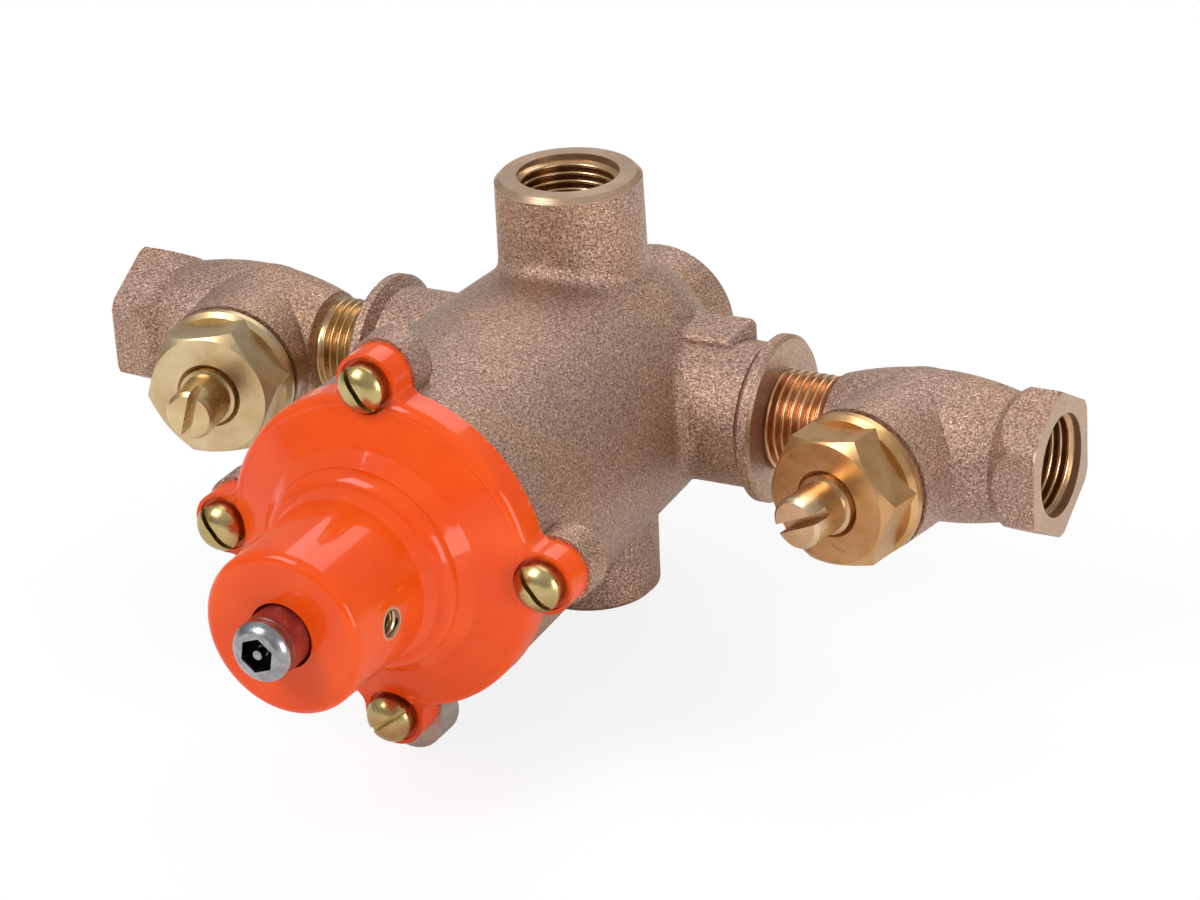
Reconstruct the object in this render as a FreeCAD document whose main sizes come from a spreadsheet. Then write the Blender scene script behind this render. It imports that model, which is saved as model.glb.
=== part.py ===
"""Thermostatic mixing valve with two check stops, as a parametric document.

The two inlets lie on one line along X, the mixed outlet points up along +Z, and the cartridge with its
adjustment cap points forward along -Y. The origin is the centre of the outlet's face. The port centre,
where the three axes meet, lies outlet_reach below it. Lengths are in millimetres, angles in degrees.
"""
import FreeCAD, Part
import math
import os
import re
import Sketcher

SIZES = {
    # pipe thread, half inch
    "thread_radius": 10.67,
    "thread_pitch_radius": 9.95,
    "thread_root_radius": 9.3,
    "thread_depth_in": 16.5,
    "male_thread_length": 11.5,
    # fits between pieces
    "running_gap": 0.05,
    "face_gap": 0.05,
    "thread_gap": 0.03,
    "seal_gap": 0.03,
    "free_gap": 0.3,
    # valve casting, outside
    "outlet_reach": 48.0,
    "outlet_face_radius": 14.2,
    "outlet_rim_radius": 15.34,
    "outlet_rim_chamfer": 1.1,
    "outlet_root_radius": 15.8,
    "stub_drop": 46.4,
    "stub_radius": 14.5,
    "stub_root_radius": 15.2,
    "stub_round": 1.2,
    "neck_reach": 47.3,
    "neck_radius": 15.2,
    "collar_radius": 17.5,
    "collar_face_radius": 16.74,
    "collar_width": 2.6,
    "ball_radius": 30.5,
    "shell_front_radius": 33.2,
    "cap_seat": 77.5,
    "tail_radius": 16.4,
    "tail_reach": 40.8,
    "tail_round": 1.0,
    "neck_groove": 4.3,
    "pad_inner": 18.0,
    "pad_setback": 10.0,
    "pad_front": 2.5,
    "pad_back": 10.2,
    "pad_height": 17.2,
    "pad_round": 1.8,
    "seam_height": 2.0,
    "seam_step": 0.35,
    "casting_fillet": 3.5,
    "lug_circle": 35.8,
    "body_lug_radius": 7.3,
    "body_lug_depth": 6.5,
    "low_lug_drop": 3.2,
    # valve casting, inside
    "spring_room_radius": 12.0,
    "tail_wall": 4.8,
    "liner_radius": 16.0,
    "liner_back": 20.0,
    "liner_front": 22.4,
    "annulus_radius": 20.0,
    "annulus_near": 3.0,
    "annulus_far": 15.0,
    "chamber_radius": 26.0,
    "chamber_back": 28.0,
    "chamber_cone": 2.0,
    "port_bore_radius": 9.0,
    "port_bore_end": 24.0,
    "side_thread_depth": 11.3,
    "channel_radius": 5.0,
    "channel_end": 15.0,
    "way_overrun": 2.0,
    "mixed_way_width": 16.0,
    "mixed_way_floor": 22.0,
    "mixed_way_roof": 27.0,
    # cartridge
    "ring_width": 1.3,
    "ring_radius": 17.5,
    "ring_inner_radius": 14.6,
    "liner_bore": 12.5,
    "liner_groove_floor": 14.3,
    "liner_groove_width": 2.4,
    "liner_groove_inset": 1.2,
    "window_radius": 2.2,
    "window_offset": 9.0,
    "piston_half_length": 9.0,
    "piston_inner_radius": 10.5,
    "piston_web": 2.0,
    "piston_hole_radius": 2.0,
    "piston_hole_circle": 8.0,
    "return_spring_radius": 5.0,
    "return_spring_wire": 0.55,
    "rod_radius": 3.0,
    "rod_collar_radius": 8.0,
    "rod_collar_at": 20.0,
    "rod_collar_width": 2.0,
    "rod_end": 56.0,
    "rod_chamfer": 0.6,
    "motor_back": 30.0,
    "motor_radius": 10.0,
    "motor_nose_radius": 8.2,
    "motor_nose_depth": 1.5,
    "motor_bore_end": 60.0,
    "motor_flange_at": 74.0,
    "motor_flange_radius": 11.7,
    "motor_flange_width": 2.2,
    "bellows_inner": 5.2,
    "bellows_outer": 7.6,
    "bellows_wall": 0.35,
    "cup_radius": 13.4,
    "cup_inner_radius": 11.9,
    "cup_mouth": 72.0,
    "cup_floor": 88.0,
    "cup_floor_width": 3.0,
    "motor_ring_radius": 12.7,
    "motor_ring_inner": 10.5,
    "motor_ring_width": 1.1,
    "overload_spring_radius": 9.5,
    "overload_spring_wire": 0.8,
    # adjustment cap
    "cap_radius": 33.6,
    "cap_rim": 7.0,
    "cap_rim_round": 2.2,
    "dome_foot_radius": 23.8,
    "dome_foot_rise": 3.0,
    "hub_radius": 21.3,
    "hub_edge": 90.6,
    "hub_round": 3.55,
    "hub_turn": 75.0,
    "snout_foot": 97.0,
    "snout_foot_radius": 17.4,
    "snout_radius": 17.0,
    "snout_reach": 120.8,
    "snout_round": 2.0,
    "cap_lug_radius": 6.5,
    "cap_lug_rise": 6.2,
    "cap_lug_fillet": 3.0,
    "spot_face_rise": 5.6,
    "spot_face_radius": 5.7,
    "cap_recess_radius": 25.0,
    "cap_recess_depth": 3.5,
    "cap_recess_cone": 1.5,
    "cup_room_radius": 14.1,
    "cup_room_end": 93.5,
    "seal_bore_end": 103.0,
    "guide_bore_end": 115.0,
    "face_hole_radius": 6.8,
    "cap_seal_circle": 29.3,
    "cap_seal_section": 1.2,
    "cap_groove_width": 3.0,
    "lock_offset": 108.7,
    "lock_hole_radius": 2.8,
    "lock_screw_length": 7.0,
    "lock_socket_flats": 2.5,
    "lock_socket_depth": 2.5,
    # cap screws
    "screw_head_radius": 4.85,
    "screw_head_side": 3.1,
    "screw_head_height": 5.0,
    "screw_dome_radius": 3.5,
    "screw_dome_drop": 0.53,
    "screw_slot_width": 1.15,
    "screw_slot_depth": 2.3,
    "screw_radius": 2.4,
    "screw_length": 11.5,
    # adjusting stem
    "stem_piston_radius": 8.0,
    "stem_piston_end": 99.5,
    "stem_seal_at": 96.3,
    "stem_seal_width": 1.8,
    "stem_seal_floor": 6.7,
    "stem_thread_radius": 7.2,
    "stem_thread_share": 0.472,
    "stem_shank_radius": 6.2,
    "stem_reach": 126.0,
    "stem_edge": 0.4,
    "tamper_shank_radius": 2.9,
    "tamper_shank_length": 11.5,
    "tamper_thread_spare": 0.5,
    "tamper_head_radius": 6.2,
    "tamper_head_side": 1.4,
    "tamper_head_height": 3.4,
    "tamper_head_crown": 4.7,
    "tamper_dome_radius": 5.77,
    "tamper_dome_drop": 0.95,
    "tamper_socket_flats": 6.4,
    "tamper_socket_depth": 2.5,
    "tamper_pin_radius": 0.95,
    "tamper_pin_height": 2.2,
    # check stops
    "stop_thread_start": 36.2,
    "stop_shoulder": 60.2,
    "stop_shoulder_cone": 0.6,
    "stop_neck_radius": 11.6,
    "stop_belly_radius": 15.2,
    "stop_belly_at": 79.5,
    "stop_waist_radius": 13.0,
    "stop_waist_at": 98.0,
    "hex_face": 108.0,
    "hex_flats": 28.0,
    "hex_start": 96.5,
    "hex_foot_radius": 12.4,
    "hex_full": 102.5,
    "hex_edge": 0.7,
    "hex_trim": 0.2,
    "stop_inlet_end": 91.0,
    "stop_outlet_end": 61.0,
    "stop_outlet_radius": 6.5,
    "stop_feed_radius": 3.7,
    "stop_drain_radius": 4.3,
    "stop_feed_offset": 7.6,
    "stop_drain_offset": 4.5,
    "bonnet_at": 77.6,
    "bonnet_tilt": 10.0,
    "boss_radius": 15.3,
    "boss_foot_angle": 54.0,
    "bonnet_face": 33.3,
    "bonnet_flange_at": 21.8,
    "bonnet_flange_radius": 15.2,
    "bonnet_flange_width": 2.9,
    "bonnet_flange_edge": 0.5,
    "bonnet_flange_bevel": 1.0,
    "bonnet_bar_rise": 1.0,
    "bonnet_flats": 26.2,
    "bonnet_chamfer_radius": 12.8,
    "bonnet_chamfer": 2.2,
    "bonnet_spigot_radius": 11.0,
    "bonnet_spigot_end": 14.0,
    "bonnet_spigot_chamfer": 0.6,
    "bonnet_mouth_radius": 7.1,
    "gasket_width": 1.0,
    "gasket_radius": 14.4,
    "gasket_gap": 0.1,
    "seat_setback": 1.0,
    "seat_radius": 5.0,
    "seat_web": 3.5,
    "back_room_radius": 8.0,
    "back_room_depth": 5.5,
    "washer_thickness": 1.5,
    "washer_radius": 6.9,
    "washer_boss_radius": 2.0,
    "poppet_thickness": 1.8,
    "poppet_guide_radius": 2.5,
    "poppet_guide_end": 19.0,
    "poppet_guide_gap": 0.08,
    "spring_seat_radius": 5.6,
    "spring_seat_width": 1.0,
    "check_spring_radius": 3.9,
    "check_spring_wire": 0.4,
    "stop_stem_start": 13.0,
    "stop_stem_bore_end": 30.0,
    "stop_stem_radius": 6.2,
    "stop_seal_at": 25.8,
    "stop_seal_width": 1.8,
    "stop_seal_floor": 4.9,
    "stop_collar_proud": 0.8,
    "stop_collar_cone": 0.2,
    "stop_shank_radius": 5.4,
    "stop_stem_proud": 10.8,
    "stop_stem_chamfer": 0.8,
    "stop_slot_width": 2.0,
    "stop_slot_depth": 4.2,
}
# each side, its sign along X and the turn of its stem's slot
SIDES = (("right", 1, 26.0), ("left", -1, 74.0))
# each screw's place round the cap, its angle there and the turn of its slot
SCREWS = (("right", 0.0, 52.0), ("top", 90.0, 57.0), ("left", 180.0, 53.0), ("bottom", 270.0, -36.0))
WINDOW_COUNT = 8
PISTON_HOLES = 6
BELLOWS_FOLDS = 4
OVERLOAD_HALF_TURNS = 7
RETURN_HALF_TURNS = 16
CHECK_HALF_TURNS = 12
RING_SPLIT = 3.0
BONNET_SPIN = 8.0
TAMPER_SPIN = 20.0
PAST = 1.0    # how far a cutting shape runs past the face it opens
EDGE_NEAR = 1.5    # how near an edge lies to the place where it is looked for

FRONT = ("0", "0", "90")     # yaw, pitch, roll that turn a piece's own Z axis to the front
UP = ("0", "0", "0")
TO_RIGHT = ("0", "90", "0")
TO_LEFT = ("0", "-90", "0")

# angle round the ball at which its outline runs straight on into the shell's taper
TANGENT = "(atan2(cap_seat; shell_front_radius) - acos(ball_radius / hypot(cap_seat; shell_front_radius)))"

doc = FreeCAD.newDocument("mixing_valve")
sheet = doc.addObject("Spreadsheet::Sheet", "Sizes")
for row, (alias, size) in enumerate(SIZES.items(), start=2):
    sheet.set("A%d" % row, alias)
    sheet.set("B%d" % row, str(size))
    sheet.setAlias("B%d" % row, alias)
doc.recompute()

nodes = {}


def tied(formula):
    """The formula with each size named as a cell of the sheet."""
    return re.sub(r"[a-z]\w+", lambda word: "Sizes." + word[0] if word[0] in SIZES else word[0], str(formula))


def number(formula):
    """What a formula of the sheet's sizes comes to."""
    sheet.set("D1", "=" + str(formula))
    sheet.recompute()
    return float(sheet.get("D1"))


def bind(thing, **formulas):
    for field, formula in formulas.items():
        thing.setExpression(field, tied(formula))
    return thing


def place(thing, x="0", y="0", z="0", turn=UP):
    """Bind a piece's place: a point measured from the parent frame's origin, and yaw, pitch and roll."""
    turns = "; ".join(tied(angle) for angle in turn)
    point = "; ".join(tied(value) for value in (x, y, z))
    thing.setExpression("Placement", "placement(vector(%s); rotation(%s))" % (point, turns))
    return thing


def seat(thing, x="0", y="0", z="0", turn=UP):
    """Place a finished piece, with its point measured from the port centre."""
    return place(thing, x, y, "%s - outlet_reach" % z, turn)


def node(name, thing):
    thing.Label = name
    nodes[name] = thing
    return thing


def arc_through(start, middle, end):
    """A counter-clockwise arc for a sketch, and whether it starts at the first point."""
    circle = Part.Circle(start, middle, end)
    centre = circle.Center
    angles = [math.atan2(point.y - centre.y, point.x - centre.x) for point in (start, middle, end)]
    sweep = [(angle - angles[0]) % (2 * math.pi) for angle in angles]
    forward = sweep[1] < sweep[2]
    first, last = (angles[0], angles[2]) if forward else (angles[2], angles[0])
    if last < first:
        last += 2 * math.pi
    plain = Part.Circle(centre, FreeCAD.Vector(0, 0, 1), circle.Radius)
    return Part.ArcOfCircle(plain, first, last), forward


def hold_point(sketch, curve, end, point, formulas):
    """Tie one end of a sketch's curve to a radius and a height."""
    for kind, here, formula in zip(("DistanceX", "DistanceY"), (point.x, point.y), formulas):
        index = sketch.addConstraint(Sketcher.Constraint(kind, -1, 1, curve, end, here))
        sketch.setExpression("Constraints[%d]" % index, tied(formula))


def draw_outline(sketch, outline):
    """Draw a closed outline of (radius, height) corners; a third entry "arc" marks an arc's middle point."""
    points = [FreeCAD.Vector(number(corner[0]), number(corner[1]), 0) for corner in outline]
    corners = [i for i, corner in enumerate(outline) if len(corner) == 2]
    joints = []
    for here, there in zip(corners, corners[1:] + [corners[0] + len(outline)]):
        last = there % len(outline)
        if there - here == 1:
            curve = sketch.addGeometry(Part.LineSegment(points[here], points[last]), False)
            ends = (1, 2)
        else:
            shape, forward = arc_through(points[here], points[here + 1], points[last])
            curve = sketch.addGeometry(shape, False)
            ends = (1, 2) if forward else (2, 1)
            middle = sketch.addGeometry(Part.Point(points[here + 1]), True)
            hold_point(sketch, middle, 1, points[here + 1], outline[here + 1][:2])
            sketch.addConstraint(Sketcher.Constraint("PointOnObject", middle, 1, curve))
        hold_point(sketch, curve, ends[0], points[here], outline[here])
        joints.append((curve, ends))
    for (curve, ends), (following, next_ends) in zip(joints, joints[1:] + joints[:1]):
        sketch.addConstraint(Sketcher.Constraint("Coincident", curve, ends[1], following, next_ends[0]))


def origin_plane(body, role):
    return [plane for plane in body.Origin.OriginFeatures if plane.Role == role][0]


def turned(name, outline):
    """A body turned about its own Z axis from an outline of (radius, height) corners."""
    body = doc.addObject("PartDesign::Body", name)
    sketch = body.newObject("Sketcher::SketchObject", name + "_outline")
    sketch.AttachmentSupport = [(origin_plane(body, "XZ_Plane"), "")]
    sketch.MapMode = "FlatFace"
    draw_outline(sketch, outline)
    turning = body.newObject("PartDesign::Revolution", name + "_turning")
    turning.Profile = sketch
    turning.ReferenceAxis = (sketch, ["V_Axis"])
    turning.Angle = 360
    return body


def cylinder(name, radius, height):
    return bind(doc.addObject("Part::Cylinder", name), Radius=radius, Height=height)


def box(name, length, width, height):
    return bind(doc.addObject("Part::Box", name), Length=length, Width=width, Height=height)


def hexagon(name, flats, height):
    prism = doc.addObject("Part::Prism", name)
    prism.Polygon = 6
    return bind(prism, Circumradius="(%s) / (2 * cos(30))" % flats, Height=height)


def ring_seal(name, circle, section):
    return bind(doc.addObject("Part::Torus", name), Radius1=circle, Radius2=section)


def fuse(name, shapes):
    joined = doc.addObject("Part::MultiFuse", name)
    joined.Shapes = shapes
    return joined


def common(name, shapes):
    shared = doc.addObject("Part::MultiCommon", name)
    shared.Shapes = shapes
    return shared


def cut(name, base, tools):
    result = doc.addObject("Part::Cut", name)
    result.Base = base
    result.Tool = tools[0] if len(tools) == 1 else fuse(name + "_cuts", tools)
    return result


def filleted(name, base, radius, chosen):
    """Round the edges of a shape that a test picks out by their middle point and length."""
    doc.recompute()
    size = number(radius)
    picks = [i for i, edge in enumerate(base.Shape.Edges, start=1) if chosen(edge)]
    rounded = doc.addObject("Part::Fillet", name)
    rounded.Base = base
    rounded.Edges = [(i, size, size) for i in picks]
    return rounded


def coil(name, radius, wire, start, end, half_turns):
    """A compression spring about Z, its wire's outside touching the heights start and end.

    Each half turn is half of a ring, tilted so that it climbs from one side of the axis to the other.
    """
    rise = "(((%s) - (%s) - 2 * (%s) - 2 * face_gap) / %d)" % (end, start, wire, half_turns)
    halves = []
    for i in range(half_turns):
        half = doc.addObject("Part::Torus", "%s_half_%d" % (name, i))
        bind(half, Radius1="sqrt((%s) ^ 2 + (%s / 2) ^ 2)" % (radius, rise), Radius2=wire)
        half.Angle3 = 180
        middle = "(%s) + (%s) + face_gap + %s * %.1f" % (start, wire, rise, i + 0.5)
        climb = "atan(%s / 2 / (%s))" % (rise, radius)
        halves.append(place(half, z=middle, turn=(str(180 * (i % 2)), climb, "0")))
    return fuse(name, halves)


def is_cast_joint(edge):
    """Two cast forms of different axes meet in a curve that is neither straight nor a circle."""
    return type(edge.Curve).__name__ == "BSplineCurve"


def lug_joints(radius):
    """A test for the upright edges where a lug's side meets the side of a round flange."""
    flange = number(radius)

    def chosen(edge):
        middle = edge.CenterOfMass
        spread = max(edge.BoundBox.XLength, edge.BoundBox.ZLength)
        upright = spread < EDGE_NEAR < edge.BoundBox.YLength
        return upright and abs(math.hypot(middle.x, middle.z) - flange) < EDGE_NEAR

    return chosen


def lug_ring(name, radius, start, end):
    """Four round lugs about the cartridge's axis, right, top, left and bottom."""
    lugs = []
    for where, angle, _ in SCREWS:
        lug = cylinder("%s_%s" % (name, where), radius, "(%s) - (%s)" % (end, start))
        lugs.append(place(lug, x="lug_circle * cos(%s)" % angle, y="-(%s)" % start,
                          z="lug_circle * sin(%s)" % angle, turn=FRONT))
    return lugs


def outer_casting():
    shell = turned("shell", [
        ("0", "-tail_reach"), ("tail_radius - tail_round", "-tail_reach"),
        ("tail_radius", "tail_round - tail_reach"),
        ("tail_radius", "-sqrt(ball_radius ^ 2 - tail_radius ^ 2)"),
        ("ball_radius * cos(30)", "-ball_radius * sin(30)", "arc"),
        ("ball_radius * cos(%s)" % TANGENT, "ball_radius * sin(%s)" % TANGENT),
        ("shell_front_radius", "cap_seat"), ("0", "cap_seat")])
    place(shell, turn=FRONT)
    outlet = turned("outlet_barrel", [
        ("0", "port_bore_radius"), ("outlet_root_radius", "port_bore_radius"),
        ("outlet_rim_radius", "outlet_reach - outlet_rim_chamfer"),
        ("outlet_face_radius", "outlet_reach"), ("0", "outlet_reach")])
    stub = turned("blind_stub", [
        ("0", "-stub_drop"), ("stub_radius - stub_round", "-stub_drop"),
        ("stub_radius", "stub_round - stub_drop"), ("stub_root_radius", "-port_bore_radius"),
        ("0", "-port_bore_radius")])
    castings = [shell, outlet, stub]
    for side, turn in (("right", TO_RIGHT), ("left", TO_LEFT)):
        neck = turned(side + "_neck", [
            ("0", "port_bore_radius"), ("neck_radius", "port_bore_radius"),
            ("neck_radius", "neck_reach - neck_groove"), ("collar_radius", "neck_reach - collar_width"),
            ("collar_radius", "neck_reach - collar_radius + collar_face_radius"),
            ("collar_face_radius", "neck_reach"), ("0", "neck_reach")])
        castings.append(place(neck, turn=turn))
    rough = fuse("rough_casting", castings)
    blended = filleted("blended_casting", rough, "casting_fillet", is_cast_joint)
    lugs = lug_ring("body_lug", "body_lug_radius", "cap_seat - body_lug_depth", "cap_seat")
    low_lug = cylinder("low_lug", "body_lug_radius", "body_lug_depth")
    place(low_lug, y="body_lug_depth - cap_seat", z="-lug_circle - low_lug_drop", turn=FRONT)
    return fuse("outer_casting", [blended, low_lug, cast_pad(), seam()] + lugs)


def cast_pad():
    """The rounded block on top of the right neck."""
    block = box("pad_block", "neck_reach - pad_setback - pad_inner", "pad_front + pad_back", "pad_height")
    place(block, x="pad_inner", y="-pad_front")
    return filleted("cast_pad", block, "pad_round", lambda edge: True)


def seam():
    """The upper mould half's slightly fuller front of the right neck, down to the mould's parting line."""
    barrel = cylinder("seam_barrel", "neck_radius + seam_step", "neck_reach - neck_groove - port_bore_end")
    place(barrel, x="port_bore_end", turn=TO_RIGHT)
    upper = box("seam_half", "neck_reach", "2 * neck_radius", "2 * neck_radius")
    place(upper, y="-2 * neck_radius", z="seam_height")
    return common("seam", [barrel, upper])


def cartridge_room():
    """The bores and annular chambers on the cartridge's axis, open at the front."""
    bore = "liner_radius + running_gap"
    room = turned("cartridge_room", [
        ("0", "tail_wall - tail_reach"), ("spring_room_radius", "tail_wall - tail_reach"),
        ("spring_room_radius", "-liner_back"), (bore, "-liner_back"), (bore, "-annulus_far"),
        ("annulus_radius", "-annulus_far"), ("annulus_radius", "-annulus_near"), (bore, "-annulus_near"),
        (bore, "annulus_near"), ("annulus_radius", "annulus_near"), ("annulus_radius", "annulus_far"),
        (bore, "annulus_far"), (bore, "liner_front"), ("ring_radius + running_gap", "liner_front"),
        ("ring_radius + running_gap", "liner_front + ring_width + 2 * running_gap"),
        (bore, "liner_front + ring_width + 2 * running_gap"), (bore, "chamber_back - chamber_cone"),
        ("chamber_radius", "chamber_back"), ("chamber_radius", "cap_seat + %s" % PAST),
        ("0", "cap_seat + %s" % PAST)])
    return place(room, turn=FRONT)


def water_ways():
    """The three port bores with the ways that join them to the chambers."""
    outlet = turned("outlet_bore", [
        ("0", "port_bore_end"), ("port_bore_radius", "port_bore_end"),
        ("port_bore_radius", "outlet_reach - thread_depth_in"),
        ("thread_radius", "outlet_reach - thread_depth_in"), ("thread_radius", "outlet_reach + %s" % PAST),
        ("0", "outlet_reach + %s" % PAST)])
    mixed = box("mixed_way", "mixed_way_width", "chamber_back + way_overrun",
                "mixed_way_roof - mixed_way_floor")
    place(mixed, x="-mixed_way_width / 2", y="-chamber_back - way_overrun", z="mixed_way_floor")
    ways = [outlet, mixed]
    for side, sign, turn in (("right", 1, TO_RIGHT), ("left", -1, TO_LEFT)):
        bore = turned(side + "_bore", [
            ("0", "port_bore_end"), ("port_bore_radius", "port_bore_end"),
            ("port_bore_radius", "neck_reach - side_thread_depth"),
            ("thread_pitch_radius + thread_gap", "neck_reach - side_thread_depth"),
            ("thread_pitch_radius + thread_gap", "neck_reach + %s" % PAST), ("0", "neck_reach + %s" % PAST)])
        channel = cylinder(side + "_channel", "channel_radius", "port_bore_end - channel_end + way_overrun")
        ways += [place(bore, turn=turn),
                 place(channel, x="%d * channel_end" % sign, y="%d * window_offset" % -sign, turn=turn)]
    return ways


def valve_body():
    holes = lug_ring("body_hole", "screw_radius + thread_gap", "cap_seat - body_lug_depth - %s" % PAST,
                     "cap_seat + %s" % PAST)
    body = cut("valve_body", outer_casting(), [cartridge_room()] + water_ways() + holes)
    node("valve_body", seat(body))


def rounded(radius, height, round_by):
    """The middle of a quarter arc that rounds the corner of a side and an end face."""
    inset = "(1 - cos(45)) * %s" % round_by
    return ("%s - %s" % (radius, inset), "%s - %s" % (height, inset), "arc")


def on_hub_round(angle):
    """A point on the hub's rounded shoulder, an angle round from its side."""
    return ("hub_radius - hub_round * (1 - cos(%s))" % angle, "hub_edge + hub_round * sin(%s)" % angle)


def adjustment_cap():
    foot = "cap_seat + cap_rim"
    dome = turned("cap_dome", [
        ("0", "cap_seat"), ("cap_radius", "cap_seat"), ("cap_radius", foot + " - cap_rim_round"),
        rounded("cap_radius", foot, "cap_rim_round"),
        ("cap_radius - cap_rim_round", foot), ("dome_foot_radius", foot + " + dome_foot_rise"),
        ("hub_radius", "hub_edge"), on_hub_round("hub_turn / 2") + ("arc",), on_hub_round("hub_turn"),
        ("snout_foot_radius", "snout_foot"), ("snout_radius", "snout_reach - snout_round"),
        rounded("snout_radius", "snout_reach", "snout_round"),
        ("snout_radius - snout_round", "snout_reach"), ("0", "snout_reach")])
    place(dome, turn=FRONT)
    lugs = lug_ring("cap_lug", "cap_lug_radius", "cap_seat", "cap_seat + cap_lug_rise")
    rough = fuse("rough_cap", [dome] + lugs)
    outside = filleted("cap_outside", rough, "cap_lug_fillet", lug_joints("cap_radius"))
    inside = turned("cap_inside", [
        ("0", "cap_seat - %s" % PAST), ("cap_recess_radius", "cap_seat - %s" % PAST),
        ("cap_recess_radius", "cap_seat + cap_recess_depth"),
        ("cup_room_radius", "cap_seat + cap_recess_depth + cap_recess_cone"),
        ("cup_room_radius", "cup_room_end"),
        ("stem_piston_radius + running_gap", "cup_room_end"),
        ("stem_piston_radius + running_gap", "seal_bore_end"),
        ("stem_thread_radius + running_gap", "seal_bore_end"),
        ("stem_thread_radius + running_gap", "guide_bore_end"), ("face_hole_radius", "guide_bore_end"),
        ("face_hole_radius", "snout_reach + %s" % PAST), ("0", "snout_reach + %s" % PAST)])
    groove = turned("cap_seal_groove", [
        ("cap_seal_circle - cap_groove_width / 2", "cap_seat - %s" % PAST),
        ("cap_seal_circle + cap_groove_width / 2", "cap_seat - %s" % PAST),
        ("cap_seal_circle + cap_groove_width / 2", "cap_seat + 2 * cap_seal_section"),
        ("cap_seal_circle - cap_groove_width / 2", "cap_seat + 2 * cap_seal_section")])
    lock = cylinder("lock_hole", "lock_hole_radius", "snout_radius + %s - stem_thread_radius" % PAST)
    cuts = [place(inside, turn=FRONT), place(groove, turn=FRONT),
            place(lock, x="stem_thread_radius", y="-lock_offset", turn=TO_RIGHT)]
    cuts += lug_ring("spot_face", "spot_face_radius", "cap_seat + spot_face_rise", "cap_seat + 2 * cap_rim")
    cuts += lug_ring("cap_hole", "screw_radius + free_gap", "cap_seat - %s" % PAST, "cap_seat + cap_rim")
    node("adjustment_cap", seat(cut("adjustment_cap", outside, cuts)))
    seal = ring_seal("cap_seal", "cap_seal_circle", "cap_seal_section")
    node("cap_seal", seat(seal, y="-cap_seat - cap_seal_section", turn=FRONT))


def cap_screws():
    head = "cap_seat + spot_face_rise"
    screws = []
    for where, angle, slot_turn in SCREWS:
        blank = turned(where + "_screw_blank", [
            ("0", "%s - screw_length" % head), ("screw_radius", "%s - screw_length" % head),
            ("screw_radius", head), ("screw_head_radius", head),
            ("screw_head_radius", "%s + screw_head_side" % head),
            ("screw_dome_radius", "%s + screw_head_height - screw_dome_drop" % head, "arc"),
            ("0", "%s + screw_head_height" % head)])
        slot = box(where + "_screw_slot", "3 * screw_head_radius", "screw_slot_width", "2 * screw_slot_depth")
        place(slot, x="-1.5 * screw_head_radius", y="-screw_slot_width / 2",
              z="%s + screw_head_height - screw_slot_depth" % head)
        screw = cut(where + "_screw", blank, [slot])
        place(screw, x="lug_circle * cos(%s)" % angle, z="lug_circle * sin(%s)" % angle,
              turn=("0", str(slot_turn), "90"))
        screws.append(screw)
    group = doc.addObject("Part::Compound", "cap_screws")
    group.Links = screws
    node("cap_screws", seat(group))


def adjusting_stem():
    foot = "cup_floor + cup_floor_width + face_gap"
    thread_end = "stem_piston_end + stem_thread_share * (stem_reach - stem_piston_end)"
    blank = turned("stem_blank", [
        ("0", foot), ("stem_piston_radius", foot),
        ("stem_piston_radius", "stem_seal_at"), ("stem_seal_floor", "stem_seal_at"),
        ("stem_seal_floor", "stem_seal_at + stem_seal_width"),
        ("stem_piston_radius", "stem_seal_at + stem_seal_width"), ("stem_piston_radius", "stem_piston_end"),
        ("stem_thread_radius", "stem_piston_end + stem_piston_radius - stem_thread_radius"),
        ("stem_thread_radius", thread_end),
        ("stem_shank_radius", thread_end + " + stem_thread_radius - stem_shank_radius"),
        ("stem_shank_radius", "stem_reach - stem_edge"), ("stem_shank_radius - stem_edge", "stem_reach"),
        ("0", "stem_reach")])
    tapped = cylinder("stem_tapped_hole", "tamper_shank_radius + thread_gap",
                      "tamper_shank_length + tamper_thread_spare + %s" % PAST)
    place(tapped, z="stem_reach - tamper_shank_length - tamper_thread_spare")
    stem = cut("adjusting_stem", blank, [tapped])
    node("adjusting_stem", seat(stem, turn=FRONT))
    section = "(stem_piston_radius + running_gap - seal_gap - stem_seal_floor) / 2"
    seal = ring_seal("stem_seal", "stem_seal_floor + %s" % section, section)
    node("stem_seal", seat(seal, y="-stem_seal_at - stem_seal_width / 2", turn=FRONT))


def tamper_screw():
    top = "stem_reach + tamper_head_height"
    blank = turned("tamper_blank", [
        ("0", "stem_reach - tamper_shank_length"),
        ("tamper_shank_radius", "stem_reach - tamper_shank_length"),
        ("tamper_shank_radius", "stem_reach"), ("tamper_head_radius", "stem_reach"),
        ("tamper_head_radius", "stem_reach + tamper_head_side"),
        ("tamper_dome_radius", top + " - tamper_dome_drop", "arc"), ("tamper_head_crown", top), ("0", top)])
    socket = hexagon("tamper_socket", "tamper_socket_flats", "tamper_socket_depth + %s" % PAST)
    place(socket, z=top + " - tamper_socket_depth")
    pin = cylinder("tamper_pin", "tamper_pin_radius", "tamper_pin_height")
    place(pin, z=top + " - tamper_socket_depth")
    hollow = cut("tamper_hollow", socket, [pin])
    node("tamper_screw", seat(cut("tamper_screw", blank, [hollow]), turn=("0", str(-TAMPER_SPIN), "90")))


def locking_screw():
    plug = cylinder("lock_plug", "lock_hole_radius - running_gap", "lock_screw_length")
    socket = hexagon("lock_socket", "lock_socket_flats", "lock_socket_depth + %s" % PAST)
    place(socket, z="lock_screw_length - lock_socket_depth")
    screw = cut("locking_screw", plug, [socket])
    node("locking_screw", seat(screw, x="stem_thread_radius + free_gap", y="-lock_offset", turn=TO_RIGHT))


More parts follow.
